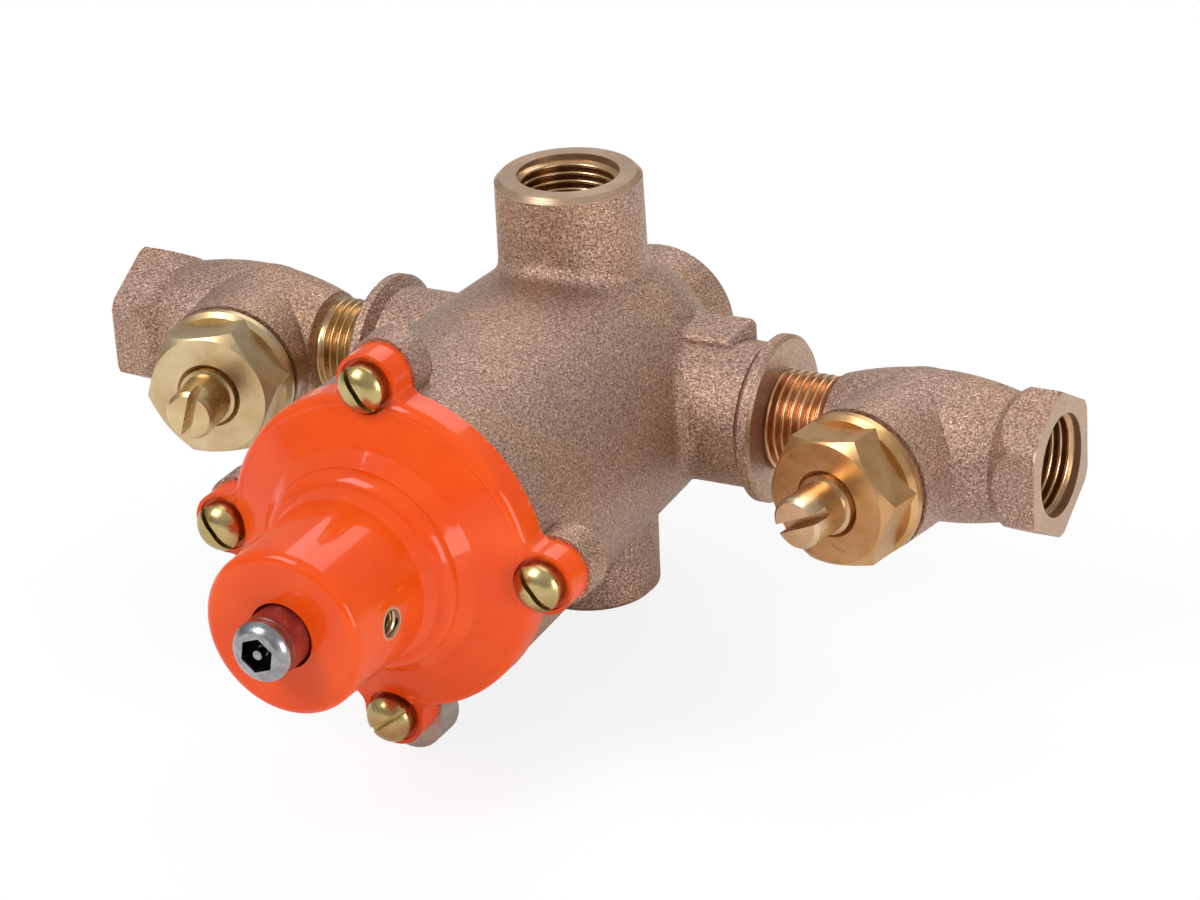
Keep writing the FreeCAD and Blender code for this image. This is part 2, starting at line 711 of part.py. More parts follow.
def liner():
    inset = "(liner_groove_width / 2 + liner_groove_inset)"
    grooves = (inset + " - liner_back", "0", "liner_front - " + inset)
    outline = [("liner_bore", "-liner_back"), ("liner_radius", "-liner_back")]
    for centre in grooves:
        low = "%s - liner_groove_width / 2" % centre
        high = "%s + liner_groove_width / 2" % centre
        outline += [("liner_radius", low), ("liner_groove_floor", low), ("liner_groove_floor", high),
                    ("liner_radius", high)]
    outline += [("liner_radius", "liner_front"), ("liner_bore", "liner_front")]
    sleeve = turned("liner_sleeve", outline)
    windows = []
    for row, sign in (("hot", -1), ("cold", 1)):
        for i in range(WINDOW_COUNT // 2):
            window = cylinder("%s_window_%d" % (row, i), "window_radius", "3 * liner_radius")
            angle = 360.0 * i / WINDOW_COUNT
            windows.append(place(window, x="-1.5 * liner_radius * cos(%s)" % angle,
                                 y="-1.5 * liner_radius * sin(%s)" % angle,
                                 z="%d * window_offset" % sign, turn=(str(angle), "90", "0")))
    node("liner", seat(cut("liner", sleeve, windows), turn=FRONT))
    section = "(liner_radius + running_gap - seal_gap - liner_groove_floor) / 2"
    for where, centre in zip(("back", "middle", "front"), grooves):
        seal = ring_seal("liner_seal_" + where, "liner_groove_floor + %s" % section, section)
        node("liner_seal_" + where, seat(seal, y="-(%s)" % centre, turn=FRONT))


def split_ring(name, inner, outer, start, width):
    """A snap ring with a gap, to be placed along its axis."""
    ring = turned(name + "_blank", [(inner, start), (outer, start), (outer, "%s + %s" % (start, width)),
                                    (inner, "%s + %s" % (start, width))])
    gap = box(name + "_gap", "2 * (%s)" % outer, str(RING_SPLIT), "3 * (%s)" % width)
    place(gap, y=str(-RING_SPLIT / 2), z="%s - %s" % (start, width))
    return cut(name, ring, [gap])


def cartridge():
    liner()
    snap = split_ring("liner_ring", "ring_inner_radius", "ring_radius",
                      "liner_front + running_gap", "ring_width")
    node("liner_ring", seat(snap, turn=FRONT))
    piston = turned("piston_blank", [
        ("0", "-piston_web"), ("piston_inner_radius", "-piston_web"),
        ("piston_inner_radius", "-piston_half_length"), ("liner_bore - running_gap", "-piston_half_length"),
        ("liner_bore - running_gap", "piston_half_length"), ("piston_inner_radius", "piston_half_length"),
        ("piston_inner_radius", "piston_web"), ("0", "piston_web")])
    holes = []
    for i in range(PISTON_HOLES):
        hole = cylinder("piston_hole_%d" % i, "piston_hole_radius", "4 * piston_web")
        angle = 360.0 * i / PISTON_HOLES
        holes.append(place(hole, x="piston_hole_circle * cos(%s)" % angle,
                           y="piston_hole_circle * sin(%s)" % angle, z="-2 * piston_web"))
    node("mixing_piston", seat(cut("mixing_piston", piston, holes), turn=FRONT))
    rod = turned("push_rod", [
        ("0", "piston_web"), ("rod_radius - rod_chamfer", "piston_web"),
        ("rod_radius", "piston_web + rod_chamfer"),
        ("rod_radius", "rod_collar_at"), ("rod_collar_radius", "rod_collar_at"),
        ("rod_collar_radius", "rod_collar_at + rod_collar_width"),
        ("rod_radius", "rod_collar_at + rod_collar_width"), ("rod_radius", "rod_end"), ("0", "rod_end")])
    node("push_rod", seat(rod, turn=FRONT))
    motor = turned("thermal_motor", [
        ("rod_radius + running_gap", "motor_back"), ("motor_nose_radius", "motor_back"),
        ("motor_nose_radius", "motor_back + motor_nose_depth"),
        ("motor_radius", "motor_back + motor_nose_depth + motor_radius - motor_nose_radius"),
        ("motor_radius", "motor_flange_at"), ("motor_flange_radius", "motor_flange_at"),
        ("motor_flange_radius", "motor_flange_at + motor_flange_width"),
        ("0", "motor_flange_at + motor_flange_width"), ("0", "motor_bore_end"),
        ("rod_radius + running_gap", "motor_bore_end")])
    node("thermal_motor", seat(motor, turn=FRONT))
    node("motor_bellows", seat(bellows(), turn=FRONT))
    back = coil("return_spring", "return_spring_radius", "return_spring_wire", "tail_wall - tail_reach",
                "-piston_web", RETURN_HALF_TURNS)
    node("return_spring", seat(back, turn=FRONT))


def bellows():
    """A thin folded tube from the rod's collar to the motor's end face."""
    start = "rod_collar_at + rod_collar_width + face_gap"
    pitch = "(motor_back - rod_collar_at - rod_collar_width - 2 * face_gap) / %d" % BELLOWS_FOLDS
    outer = [("bellows_inner + bellows_wall", start)]
    for i in range(BELLOWS_FOLDS):
        outer.append(("bellows_outer", "%s + %s * %s" % (start, i + 0.5, pitch)))
        outer.append(("bellows_inner + bellows_wall", "%s + %s * %s" % (start, i + 1, pitch)))
    inner = [("%s - bellows_wall" % radius, height) for radius, height in reversed(outer)]
    return turned("motor_bellows", outer + inner)


def thrust_group():
    groove_floor = "motor_ring_radius + running_gap"
    groove_top = "motor_flange_at - face_gap"
    groove_foot = "motor_flange_at - motor_ring_width - 3 * face_gap"
    cup = turned("thrust_cup", [
        ("0", "cup_floor"), ("cup_inner_radius", "cup_floor"), ("cup_inner_radius", groove_top),
        (groove_floor, groove_top), (groove_floor, groove_foot),
        ("cup_inner_radius", groove_foot), ("cup_inner_radius", "cup_mouth"),
        ("cup_radius", "cup_mouth"), ("cup_radius", "cup_floor + cup_floor_width"),
        ("0", "cup_floor + cup_floor_width")])
    node("thrust_cup", seat(cup, turn=FRONT))
    snap = split_ring("motor_ring", "motor_ring_inner", "motor_ring_radius",
                      "motor_flange_at - motor_ring_width - 2 * face_gap", "motor_ring_width")
    node("motor_ring", seat(snap, turn=FRONT))
    spring = coil("overload_spring", "overload_spring_radius", "overload_spring_wire",
                  "motor_flange_at + motor_flange_width", "cup_floor", OVERLOAD_HALF_TURNS)
    node("overload_spring", seat(spring, turn=FRONT))


def on_bonnet(piece, sign, along="0", spin=0.0):
    """Place a piece whose own Z is the bonnet's axis; along is measured out from the port line."""
    return seat(piece, x="%d * (bonnet_at - (%s) * sin(bonnet_tilt))" % (sign, along),
                y="-(%s) * cos(bonnet_tilt)" % along, turn=("%d * bonnet_tilt" % -sign, str(-spin), "90"))


def stop_body(side, sign):
    barrel = turned(side + "_stop_barrel", [
        ("0", "stop_thread_start"), ("thread_root_radius", "stop_thread_start"),
        ("thread_pitch_radius", "stop_thread_start + thread_pitch_radius - thread_root_radius"),
        ("thread_pitch_radius", "neck_reach"),
        ("thread_root_radius", "neck_reach + thread_pitch_radius - thread_root_radius"),
        ("thread_root_radius", "stop_shoulder - stop_shoulder_cone"), ("stop_neck_radius", "stop_shoulder"),
        ("stop_belly_radius", "stop_belly_at", "arc"), ("stop_waist_radius", "stop_waist_at"),
        ("stop_waist_radius", "hex_full"), ("0", "hex_full")])
    place(barrel, turn=TO_RIGHT)
    corner = "(hex_flats / (2 * cos(30)))"
    prism = hexagon(side + "_stop_hex_bar", "hex_flats", "hex_face - hex_start")
    place(prism, x="hex_start", turn=("0", "90", "0"))
    taper = turned(side + "_stop_hex_taper", [
        ("0", "hex_start"), ("hex_foot_radius", "hex_start"), (corner + " + hex_trim", "hex_full"),
        (corner + " + hex_trim", "hex_face - hex_edge"), (corner + " - hex_edge", "hex_face"),
        ("0", "hex_face")])
    place(taper, turn=TO_RIGHT)
    hex_end = common(side + "_stop_hex", [prism, taper])
    boss = turned(side + "_stop_boss", [
        ("0", "-boss_radius * sin(boss_foot_angle)"),
        ("boss_radius * cos(boss_foot_angle)", "-boss_radius * sin(boss_foot_angle)"),
        ("boss_radius * cos(boss_foot_angle / 2)", "-boss_radius * sin(boss_foot_angle / 2)", "arc"),
        ("boss_radius", "0"),
        ("boss_radius", "bonnet_flange_at - gasket_width"), ("0", "bonnet_flange_at - gasket_width")])
    place(boss, x="bonnet_at", turn=("-bonnet_tilt", "0", "90"))
    outside = fuse(side + "_stop_outside", [barrel, hex_end, boss])
    inlet = turned(side + "_stop_inlet", [
        ("0", "stop_inlet_end"), ("thread_root_radius", "stop_inlet_end"),
        ("thread_radius", "hex_face - thread_depth_in"), ("thread_radius", "hex_face + %s" % PAST),
        ("0", "hex_face + %s" % PAST)])
    outlet = cylinder(side + "_stop_outlet", "stop_outlet_radius",
                      "stop_outlet_end - stop_thread_start + %s" % PAST)
    feed = cylinder(side + "_stop_feed", "stop_feed_radius", "stop_inlet_end - bonnet_at + way_overrun")
    drain = cylinder(side + "_stop_drain", "stop_drain_radius", "bonnet_at - stop_outlet_end + way_overrun")
    rooms = turned(side + "_stop_rooms", [
        ("0", "-seat_setback - seat_web - back_room_depth"),
        ("back_room_radius", "-seat_setback - seat_web - back_room_depth"),
        ("back_room_radius", "-seat_setback - seat_web"), ("seat_radius", "-seat_setback - seat_web"),
        ("seat_radius", "-seat_setback"), ("bonnet_spigot_radius + thread_gap", "-seat_setback"),
        ("bonnet_spigot_radius + thread_gap", "bonnet_flange_at"), ("0", "bonnet_flange_at")])
    cuts = [place(inlet, turn=TO_RIGHT), place(outlet, x="stop_thread_start - %s" % PAST, turn=TO_RIGHT),
            place(feed, x="bonnet_at", y="stop_feed_offset", turn=TO_RIGHT),
            place(drain, x="stop_outlet_end - way_overrun", y="-stop_drain_offset", turn=TO_RIGHT),
            place(rooms, x="bonnet_at", turn=("-bonnet_tilt", "0", "90"))]
    body = cut(side + "_stop_body", outside, cuts)
    node(side + "_stop_body", seat(body, turn=("0", "0" if sign > 0 else "180", "0")))


def stop_bonnet(side, sign):
    bar_at = "bonnet_flange_at + bonnet_bar_rise"
    prism = hexagon(side + "_bonnet_bar", "bonnet_flats", "bonnet_face - (%s)" % bar_at)
    place(prism, z=bar_at)
    corner = "(bonnet_flats / (2 * cos(30)))"
    crown = turned(side + "_bonnet_crown", [
        ("0", bar_at), (corner + " + hex_trim", bar_at),
        (corner + " + hex_trim", "bonnet_face - bonnet_chamfer"), ("bonnet_chamfer_radius", "bonnet_face"),
        ("0", "bonnet_face")])
    flange_top = "bonnet_flange_at + bonnet_flange_width"
    flange = turned(side + "_bonnet_flange", [
        ("0", "bonnet_spigot_end"), ("bonnet_spigot_radius - bonnet_spigot_chamfer", "bonnet_spigot_end"),
        ("bonnet_spigot_radius", "bonnet_spigot_end + bonnet_spigot_chamfer"),
        ("bonnet_spigot_radius", "bonnet_flange_at"),
        ("bonnet_flange_radius - bonnet_flange_edge", "bonnet_flange_at"),
        ("bonnet_flange_radius", "bonnet_flange_at + bonnet_flange_edge"),
        ("bonnet_flange_radius", flange_top + " - bonnet_flange_bevel"),
        ("bonnet_flange_radius - bonnet_flange_bevel", flange_top), ("0", flange_top)])
    outside = fuse(side + "_bonnet_outside", [common(side + "_bonnet_hex", [prism, crown]), flange])
    bore_radius = "stop_stem_radius + running_gap"
    bore = turned(side + "_bonnet_bore", [
        ("0", "bonnet_spigot_end - %s" % PAST), (bore_radius, "bonnet_spigot_end - %s" % PAST),
        (bore_radius, "bonnet_face - bonnet_mouth_radius + stop_stem_radius"),
        ("bonnet_mouth_radius", "bonnet_face"), ("bonnet_mouth_radius", "bonnet_face + %s" % PAST),
        ("0", "bonnet_face + %s" % PAST)])
    nut = cut(side + "_bonnet_nut", outside, [bore])
    node(side + "_bonnet_nut", on_bonnet(nut, sign, spin=BONNET_SPIN))
    gasket = turned(side + "_bonnet_gasket", [
        ("bonnet_spigot_radius + gasket_gap", "bonnet_flange_at - gasket_width"),
        ("gasket_radius", "bonnet_flange_at - gasket_width"), ("gasket_radius", "bonnet_flange_at"),
        ("bonnet_spigot_radius + gasket_gap", "bonnet_flange_at")])
    node(side + "_bonnet_gasket", on_bonnet(gasket, sign))


def stop_stem(side, sign, slot_turn):
    tip = "bonnet_face + stop_stem_proud"
    collar = "bonnet_face + stop_collar_proud"
    guide = "poppet_guide_radius + poppet_guide_gap"
    blank = turned(side + "_stem_blank", [
        (guide, "stop_stem_start"), ("stop_stem_radius", "stop_stem_start"),
        ("stop_stem_radius", "stop_seal_at"), ("stop_seal_floor", "stop_seal_at"),
        ("stop_seal_floor", "stop_seal_at + stop_seal_width"),
        ("stop_stem_radius", "stop_seal_at + stop_seal_width"), ("stop_stem_radius", collar),
        ("stop_shank_radius", collar + " + stop_collar_cone"),
        ("stop_shank_radius", tip + " - stop_stem_chamfer"),
        ("stop_shank_radius - stop_stem_chamfer", tip), ("0", tip), ("0", "stop_stem_bore_end"),
        (guide, "stop_stem_bore_end")])
    slot = box(side + "_stem_slot", "4 * stop_shank_radius", "stop_slot_width", "2 * stop_slot_depth")
    place(slot, x="-2 * stop_shank_radius", y="-stop_slot_width / 2", z=tip + " - stop_slot_depth")
    stem = cut(side + "_stop_stem", blank, [slot])
    node(side + "_stop_stem", on_bonnet(stem, sign, spin=slot_turn))
    section = "((stop_stem_radius + running_gap - seal_gap - stop_seal_floor) / 2)"
    seal = ring_seal(side + "_stop_seal", "stop_seal_floor + %s" % section, section)
    node(side + "_stop_seal", on_bonnet(seal, sign, along="stop_seal_at + stop_seal_width / 2"))
    washer = turned(side + "_spring_seat", [
        (guide, "stop_stem_start - spring_seat_width - face_gap"),
        ("spring_seat_radius", "stop_stem_start - spring_seat_width - face_gap"),
        ("spring_seat_radius", "stop_stem_start - face_gap"), (guide, "stop_stem_start - face_gap")])
    node(side + "_spring_seat", on_bonnet(washer, sign))


def check_valve(side, sign):
    face = "face_gap - seat_setback"
    back = "washer_thickness + face_gap - seat_setback"
    washer = turned(side + "_check_washer", [
        ("washer_boss_radius", face), ("washer_radius", face), ("washer_radius", back),
        ("washer_boss_radius", back)])
    node(side + "_check_washer", on_bonnet(washer, sign))
    poppet = turned(side + "_check_poppet", [
        ("0", face), ("washer_boss_radius", face), ("washer_boss_radius", back), ("washer_radius", back),
        ("washer_radius", back + " + poppet_thickness"),
        ("poppet_guide_radius", back + " + poppet_thickness"),
        ("poppet_guide_radius", "poppet_guide_end"), ("0", "poppet_guide_end")])
    node(side + "_check_poppet", on_bonnet(poppet, sign))
    spring = coil(side + "_check_spring", "check_spring_radius", "check_spring_wire",
                  back + " + poppet_thickness", "stop_stem_start - spring_seat_width - face_gap",
                  CHECK_HALF_TURNS)
    node(side + "_check_spring", on_bonnet(spring, sign))


def write_parts():
    doc.recompute()
    for thing in doc.Objects:
        if "Invalid" in thing.State or "Error" in thing.State:
            raise SystemExit("%s failed: %s" % (thing.Label, thing.State))
    for name, thing in nodes.items():
        if thing.Shape.isNull() or not thing.Shape.isValid():
            raise SystemExit("%s has no valid shape" % name)
    os.makedirs("parts", exist_ok=True)
    for name, thing in nodes.items():
        thing.Shape.exportStep("parts/%s.step" % name)
        print("%-22s %d solids %10.1f mm3" % (name, len(thing.Shape.Solids), thing.Shape.Volume))


valve_body()
adjustment_cap()
cap_screws()
adjusting_stem()
tamper_screw()
locking_screw()
cartridge()
thrust_group()
for side, sign, slot_turn in SIDES:
    stop_body(side, sign)
    stop_bonnet(side, sign)
    stop_stem(side, sign, slot_turn)
    check_valve(side, sign)
sheet.clear("D1")
write_parts()
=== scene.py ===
"""The looks of the thermostatic mixing valve: finishes, screw threads, studio light and camera."""

import math

import bpy
from mathutils import Matrix, Vector


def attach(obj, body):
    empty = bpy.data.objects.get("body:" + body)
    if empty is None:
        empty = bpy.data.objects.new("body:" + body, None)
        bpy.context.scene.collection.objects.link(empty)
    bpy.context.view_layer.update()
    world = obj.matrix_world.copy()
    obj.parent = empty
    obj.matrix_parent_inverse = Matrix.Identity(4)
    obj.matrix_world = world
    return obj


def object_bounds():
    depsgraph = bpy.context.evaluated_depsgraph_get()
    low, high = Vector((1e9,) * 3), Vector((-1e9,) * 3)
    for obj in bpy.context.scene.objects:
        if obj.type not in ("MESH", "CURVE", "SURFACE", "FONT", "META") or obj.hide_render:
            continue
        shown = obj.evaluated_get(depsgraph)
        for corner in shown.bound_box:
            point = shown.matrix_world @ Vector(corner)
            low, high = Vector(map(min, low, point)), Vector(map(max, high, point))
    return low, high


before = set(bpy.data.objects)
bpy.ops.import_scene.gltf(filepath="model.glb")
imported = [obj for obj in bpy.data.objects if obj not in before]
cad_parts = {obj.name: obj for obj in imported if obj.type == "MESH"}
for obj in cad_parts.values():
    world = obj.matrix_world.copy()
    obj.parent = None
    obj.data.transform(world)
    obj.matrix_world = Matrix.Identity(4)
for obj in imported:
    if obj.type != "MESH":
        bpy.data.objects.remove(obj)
cad_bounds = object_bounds()

MM = 0.001
PORT = Vector((0.0, 0.0, -0.048))    # the port centre, where the three axes meet

# pipe thread, half inch
THREAD_PITCH = 1.814 * MM
THREAD_CREST = 10.67 * MM
THREAD_ROOT = 9.25 * MM
FEMALE_CREST = 9.55 * MM
FEMALE_LENGTH = 16.4 * MM
LOCK_RADIUS = 2.8 * MM
LOCK_PITCH = 0.8 * MM
BITE = 0.06 * MM    # how far a thread's foot sinks into the wall that carries it

COLLAR_FACE = 47.3 * MM
STOP_SHOULDER = 60.2 * MM
HEX_FACE = 108.0 * MM
RUNOUT = 0.3 * MM    # from a port's face to the start of its thread
COLLAR_POLISH = 0.5    # how far the collar faces are from cast, 0, to turned, 1
END_POLISH = 0.6
CAP_SEAT = 77.5 * MM
LOCK_PLACE = -108.7 * MM    # the cap's side hole, along Y


# ---------------------------------------------------------------- finishes

def linear(red, green, blue):
    """A colour given as the eye sees it, 0 to 255, as light."""
    values = [v / 255 for v in (red, green, blue)]
    return tuple(v / 12.92 if v <= 0.04045 else ((v + 0.055) / 1.055) ** 2.4 for v in values) + (1.0,)


class Finish:
    """A procedural material in the making. Each method adds a node and returns what it gives out."""

    def __init__(self, name, metallic=1.0, **sockets):
        self.material = bpy.data.materials.new(name)
        self.material.use_nodes = True
        tree = self.material.node_tree
        self.nodes, self.links = tree.nodes, tree.links
        self.nodes.clear()
        self.shader = self.nodes.new("ShaderNodeBsdfPrincipled")
        self.shader.inputs["Metallic"].default_value = metallic
        for socket, value in sockets.items():
            self.shader.inputs[socket.replace("_", " ")].default_value = value
        output = self.nodes.new("ShaderNodeOutputMaterial")
        self.links.new(self.shader.outputs[0], output.inputs["Surface"])
        self.place = self.nodes.new("ShaderNodeTexCoord").outputs["Object"]
        split = self.nodes.new("ShaderNodeSeparateXYZ")
        self.links.new(self.place, split.inputs[0])
        self.x, self.y, self.z = split.outputs

    def put(self, socket, value):
        if isinstance(value, bpy.types.NodeSocket):
            self.links.new(value, socket)
        else:
            socket.default_value = value

    def sum(self, operation, *values):
        node = self.nodes.new("ShaderNodeMath")
        node.operation = operation
        for socket, value in zip(node.inputs, values):
            self.put(socket, value)
        return node.outputs[0]

    def step(self, value, low, high):
        """0 below low and 1 above high, smooth between. Turned round where low is the larger."""
        node = self.nodes.new("ShaderNodeMapRange")
        node.interpolation_type = "SMOOTHSTEP"
        self.put(node.inputs["Value"], value)
        node.inputs["From Min"].default_value = min(low, high)
        node.inputs["From Max"].default_value = max(low, high)
        node.inputs["To Min"].default_value = 0.0 if low < high else 1.0
        node.inputs["To Max"].default_value = 1.0 if low < high else 0.0
        return node.outputs["Result"]

    def both(self, *masks):
        result = masks[0]
        for mask in masks[1:]:
            result = self.sum("MULTIPLY", result, mask)
        return result

    def either(self, *masks):
        result = masks[0]
        for mask in masks[1:]:
            result = self.sum("MAXIMUM", result, mask)
        return result

    def noise(self, size, detail=2.0, roughness=0.5, warp=0.0, stretch=(1, 1, 1)):
        mapping = self.nodes.new("ShaderNodeMapping")
        self.links.new(self.place, mapping.inputs["Vector"])
        mapping.inputs["Scale"].default_value = tuple(1 / (size * s) for s in stretch)
        node = self.nodes.new("ShaderNodeTexNoise")
        self.links.new(mapping.outputs[0], node.inputs["Vector"])
        node.inputs["Scale"].default_value = 1.0
        node.inputs["Detail"].default_value = detail
        node.inputs["Roughness"].default_value = roughness
        node.inputs["Distortion"].default_value = warp
        return node.outputs[0]

    def blend(self, share, first, second):
        node = self.nodes.new("ShaderNodeMix")
        node.data_type = "RGBA"
        self.put(node.inputs["Factor"], share)
        self.put(node.inputs[6], first)
        self.put(node.inputs[7], second)
        return node.outputs[2]

    def between(self, share, first, second):
        """A number that goes from first to second."""
        node = self.nodes.new("ShaderNodeMix")
        self.put(node.inputs["Factor"], share)
        self.put(node.inputs[2], first)
        self.put(node.inputs[3], second)
        return node.outputs[0]

    def radius(self, first, second, centre=(0.0, 0.0)):
        """The distance from an axis whose place in the two coordinates is centre."""
        offsets = [self.sum("SUBTRACT", v, c) for v, c in zip((first, second), centre)]
        squares = [self.sum("MULTIPLY", v, v) for v in offsets]
        return self.sum("SQRT", self.sum("ADD", *squares))

    def rings(self, radius, spacing):
        """Turning marks: fine rings about an axis."""
        return self.sum("SINE", self.sum("MULTIPLY", radius, math.tau / spacing))

    def bump(self, height, depth, under=None, strength=1.0):
        node = self.nodes.new("ShaderNodeBump")
        node.inputs["Distance"].default_value = depth
        self.put(node.inputs["Strength"], strength)
        self.links.new(height, node.inputs["Height"])
        if under is not None:
            self.links.new(under, node.inputs["Normal"])
        return node.outputs[0]

    def done(self, colour, roughness, normal):
        self.put(self.shader.inputs["Base Color"], colour)
        self.put(self.shader.inputs["Roughness"], roughness)
        self.put(self.shader.inputs["Normal"], normal)
        return self.material


def cast_bronze(name, machined, turned, painted=None):
    """Sand-cast bronze. machined says where it is machined, painted where it is drawn pale as a painted
    reflection of the white floor, turned gives its rings.
    """
    f = Finish(name, metallic=0.85)
    grain = f.noise(0.5 * MM, detail=2.0, roughness=0.6)
    fine = f.noise(0.24 * MM, detail=1.0)
    lumps = f.noise(2.6 * MM, detail=2.0)
    patches = f.noise(30 * MM, detail=1.0, warp=0.3)
    specks = f.step(f.noise(0.42 * MM, detail=1.0), 0.6, 0.72)
    pits = f.step(f.noise(0.9 * MM, detail=2.0), 0.33, 0.26)
    cool = f.blend(f.step(grain, 0.3, 0.7), linear(124, 95, 84), linear(196, 163, 145))
    warm = f.blend(f.step(grain, 0.3, 0.7), linear(130, 98, 78), linear(204, 167, 138))
    rough = f.blend(f.step(patches, 0.38, 0.68), cool, warm)
    rough = f.blend(f.sum("MULTIPLY", specks, 0.8), rough, linear(240, 212, 186))
    rough = f.blend(f.sum("MULTIPLY", pits, 0.55), rough, linear(86, 62, 52))
    # painted reflection: where painted says, the bronze turns pale grey for the white floor it faces
    if painted:
        rough = f.blend(painted(f), rough, f.blend(grain, linear(168, 166, 156), linear(206, 204, 194)))
    worked = machined(f)
    marks = turned(f)
    bright = f.blend(f.step(f.noise(7 * MM), 0.3, 0.7), linear(176, 146, 122), linear(200, 170, 144))
    bright = f.blend(f.step(marks, -0.4, 1.0), bright, linear(186, 154, 126))
    colour = f.blend(worked, rough, bright)
    roughness = f.between(worked, f.between(specks, 0.5, 0.3), 0.3)
    sand = f.bump(lumps, 0.5 * MM, strength=f.between(worked, 0.35, 0.0))
    sand = f.bump(grain, 0.3 * MM, under=sand, strength=f.between(worked, 0.85, 0.0))
    sand = f.bump(fine, 0.1 * MM, under=sand, strength=f.between(worked, 0.6, 0.03))
    lathe = f.bump(marks, 0.01 * MM, under=sand, strength=f.between(worked, 0.0, 0.5))
    return f.done(colour, roughness, lathe)


def body_machined(f):
    """The outlet's rim, the two collar faces, and the threaded bores."""
    across = f.sum("ABSOLUTE", f.x)
    rim = f.step(f.z, -1.35 * MM, -1.15 * MM)
    collars = f.step(across, COLLAR_FACE - 0.75 * MM, COLLAR_FACE - 0.55 * MM)
    outlet_bore = f.both(f.step(f.radius(f.x, f.y), 11.2 * MM, 10.9 * MM), f.step(f.z, -20 * MM, -17 * MM))
    side_bore = f.both(f.step(f.radius(f.y, f.z, (0.0, PORT.z)), 11.2 * MM, 10.9 * MM),
                       f.step(across, 30 * MM, 33 * MM))
    return f.either(rim, f.sum("MULTIPLY", collars, COLLAR_POLISH), outlet_bore, side_bore)


def low_lug_floor_reflection(f):
    """The lowest lug for a cap screw, drawn pale grey: a painted reflection of the white floor below it."""
    below = f.step(f.z, -83.2 * MM, -84.4 * MM)
    return f.sum("MULTIPLY", f.both(below, f.step(f.y, -69.6 * MM, -70.6 * MM)), 0.85)


def body_turned(f):
    about_outlet = f.rings(f.radius(f.x, f.y), 0.42 * MM)
    about_sides = f.rings(f.radius(f.y, f.z, (0.0, PORT.z)), 0.42 * MM)
    on_top = f.step(f.z, -9 * MM, -6 * MM)
    return f.between(on_top, about_sides, about_outlet)


def stop_machined(f):
    across = f.sum("ABSOLUTE", f.x)
    from_axis = f.radius(f.y, f.z, (0.0, PORT.z))
    end = f.step(across, HEX_FACE - 0.35 * MM, HEX_FACE - 0.15 * MM)
    bore = f.both(f.step(from_axis, 11.2 * MM, 10.9 * MM), f.step(across, 90 * MM, 91 * MM))
    male = f.step(across, STOP_SHOULDER - 0.2 * MM, STOP_SHOULDER - 0.6 * MM)
    return f.either(f.sum("MULTIPLY", end, END_POLISH), bore, male)


def stop_turned(f):
    return f.rings(f.radius(f.y, f.z, (0.0, PORT.z)), 0.42 * MM)


def orange_enamel(name):
    """Thick glossy enamel, bare at the tapped side hole, chipped here and there along the seat."""
    f = Finish(name, metallic=0.0, Coat_Weight=0.45, Coat_Roughness=0.06, Specular_IOR_Level=0.08)
    drift = f.noise(14 * MM, detail=2.0)
    orange = f.blend(f.step(drift, 0.3, 0.7), linear(221, 70, 8), linear(227, 80, 14))
    lock = f.radius(f.y, f.z, (LOCK_PLACE, PORT.z))
    bare = f.both(f.step(lock, 3.4 * MM, 3.15 * MM), f.step(f.x, 5 * MM, 6 * MM))
    chips = f.both(f.step(f.noise(1.6 * MM, detail=3.0), 0.64, 0.68),
                   f.step(f.y, -CAP_SEAT - 1.1 * MM, -CAP_SEAT - 0.2 * MM))
    bare = f.either(bare, chips)
    colour = f.blend(bare, orange, linear(176, 140, 112))
    peel = f.bump(f.noise(2.6 * MM, detail=2.0), 0.05 * MM, strength=0.35)
    waves = f.bump(drift, 0.5 * MM, under=peel, strength=0.25)
    f.links.new(waves, f.shader.inputs["Coat Normal"])
    return f.done(colour, f.between(bare, 0.32, 0.4), waves)


def brass(name, pale, deep, roughness=0.2, marks=0.35 * MM, stain=0.0):
    """Turned brass: uneven tarnish, fine tool marks and scratches."""
    f = Finish(name)
    tarnish = f.noise(8 * MM, detail=2.0, warp=0.3)
    colour = f.blend(f.step(tarnish, 0.25, 0.75), pale, deep)
    if stain:
        dark = f.step(f.noise(1.8 * MM, detail=3.0, roughness=0.6), 0.58, 0.72)
        colour = f.blend(f.sum("MULTIPLY", dark, stain), colour, linear(112, 88, 56))
    scratches = f.noise(marks, detail=2.0, stretch=(6, 1, 1))
    dull = f.between(f.step(f.noise(2.4 * MM, detail=2.0), 0.3, 0.75), roughness, roughness + 0.08)
    return f.done(colour, dull, f.bump(scratches, 0.012 * MM, strength=0.3))


def painted_socket_shade(f):
    """Painted shade: where the inside of a screw's socket is drawn near black around its pin, for the shade
    in the recess.
    """
    across = f.radius(f.x, f.z, (0.0, PORT.z))
    wall = f.step(across, 3.72 * MM, 3.62 * MM)
    pin = f.step(across, 1.0 * MM, 1.12 * MM)
    return f.both(wall, pin, f.step(f.y, -129.2 * MM, -128.9 * MM))


def bright_steel(name, socket=False):
    f = Finish(name)
    tone = f.noise(2.4 * MM, detail=2.0)
    colour = f.blend(f.step(tone, 0.3, 0.7), linear(132, 131, 134), linear(162, 161, 164))
    roughness = f.between(f.step(f.noise(0.9 * MM, detail=3.0), 0.35, 0.7), 0.24, 0.34)
    if socket:
        # painted shade: the socket's inside is coloured near black where shade falls in it
        hole = painted_socket_shade(f)
        colour = f.blend(hole, colour, linear(22, 21, 21))
        roughness = f.between(hole, roughness, 0.6)
    return f.done(colour, roughness, f.bump(f.noise(0.4 * MM, stretch=(1, 5, 1)), 0.01 * MM, strength=0.25))


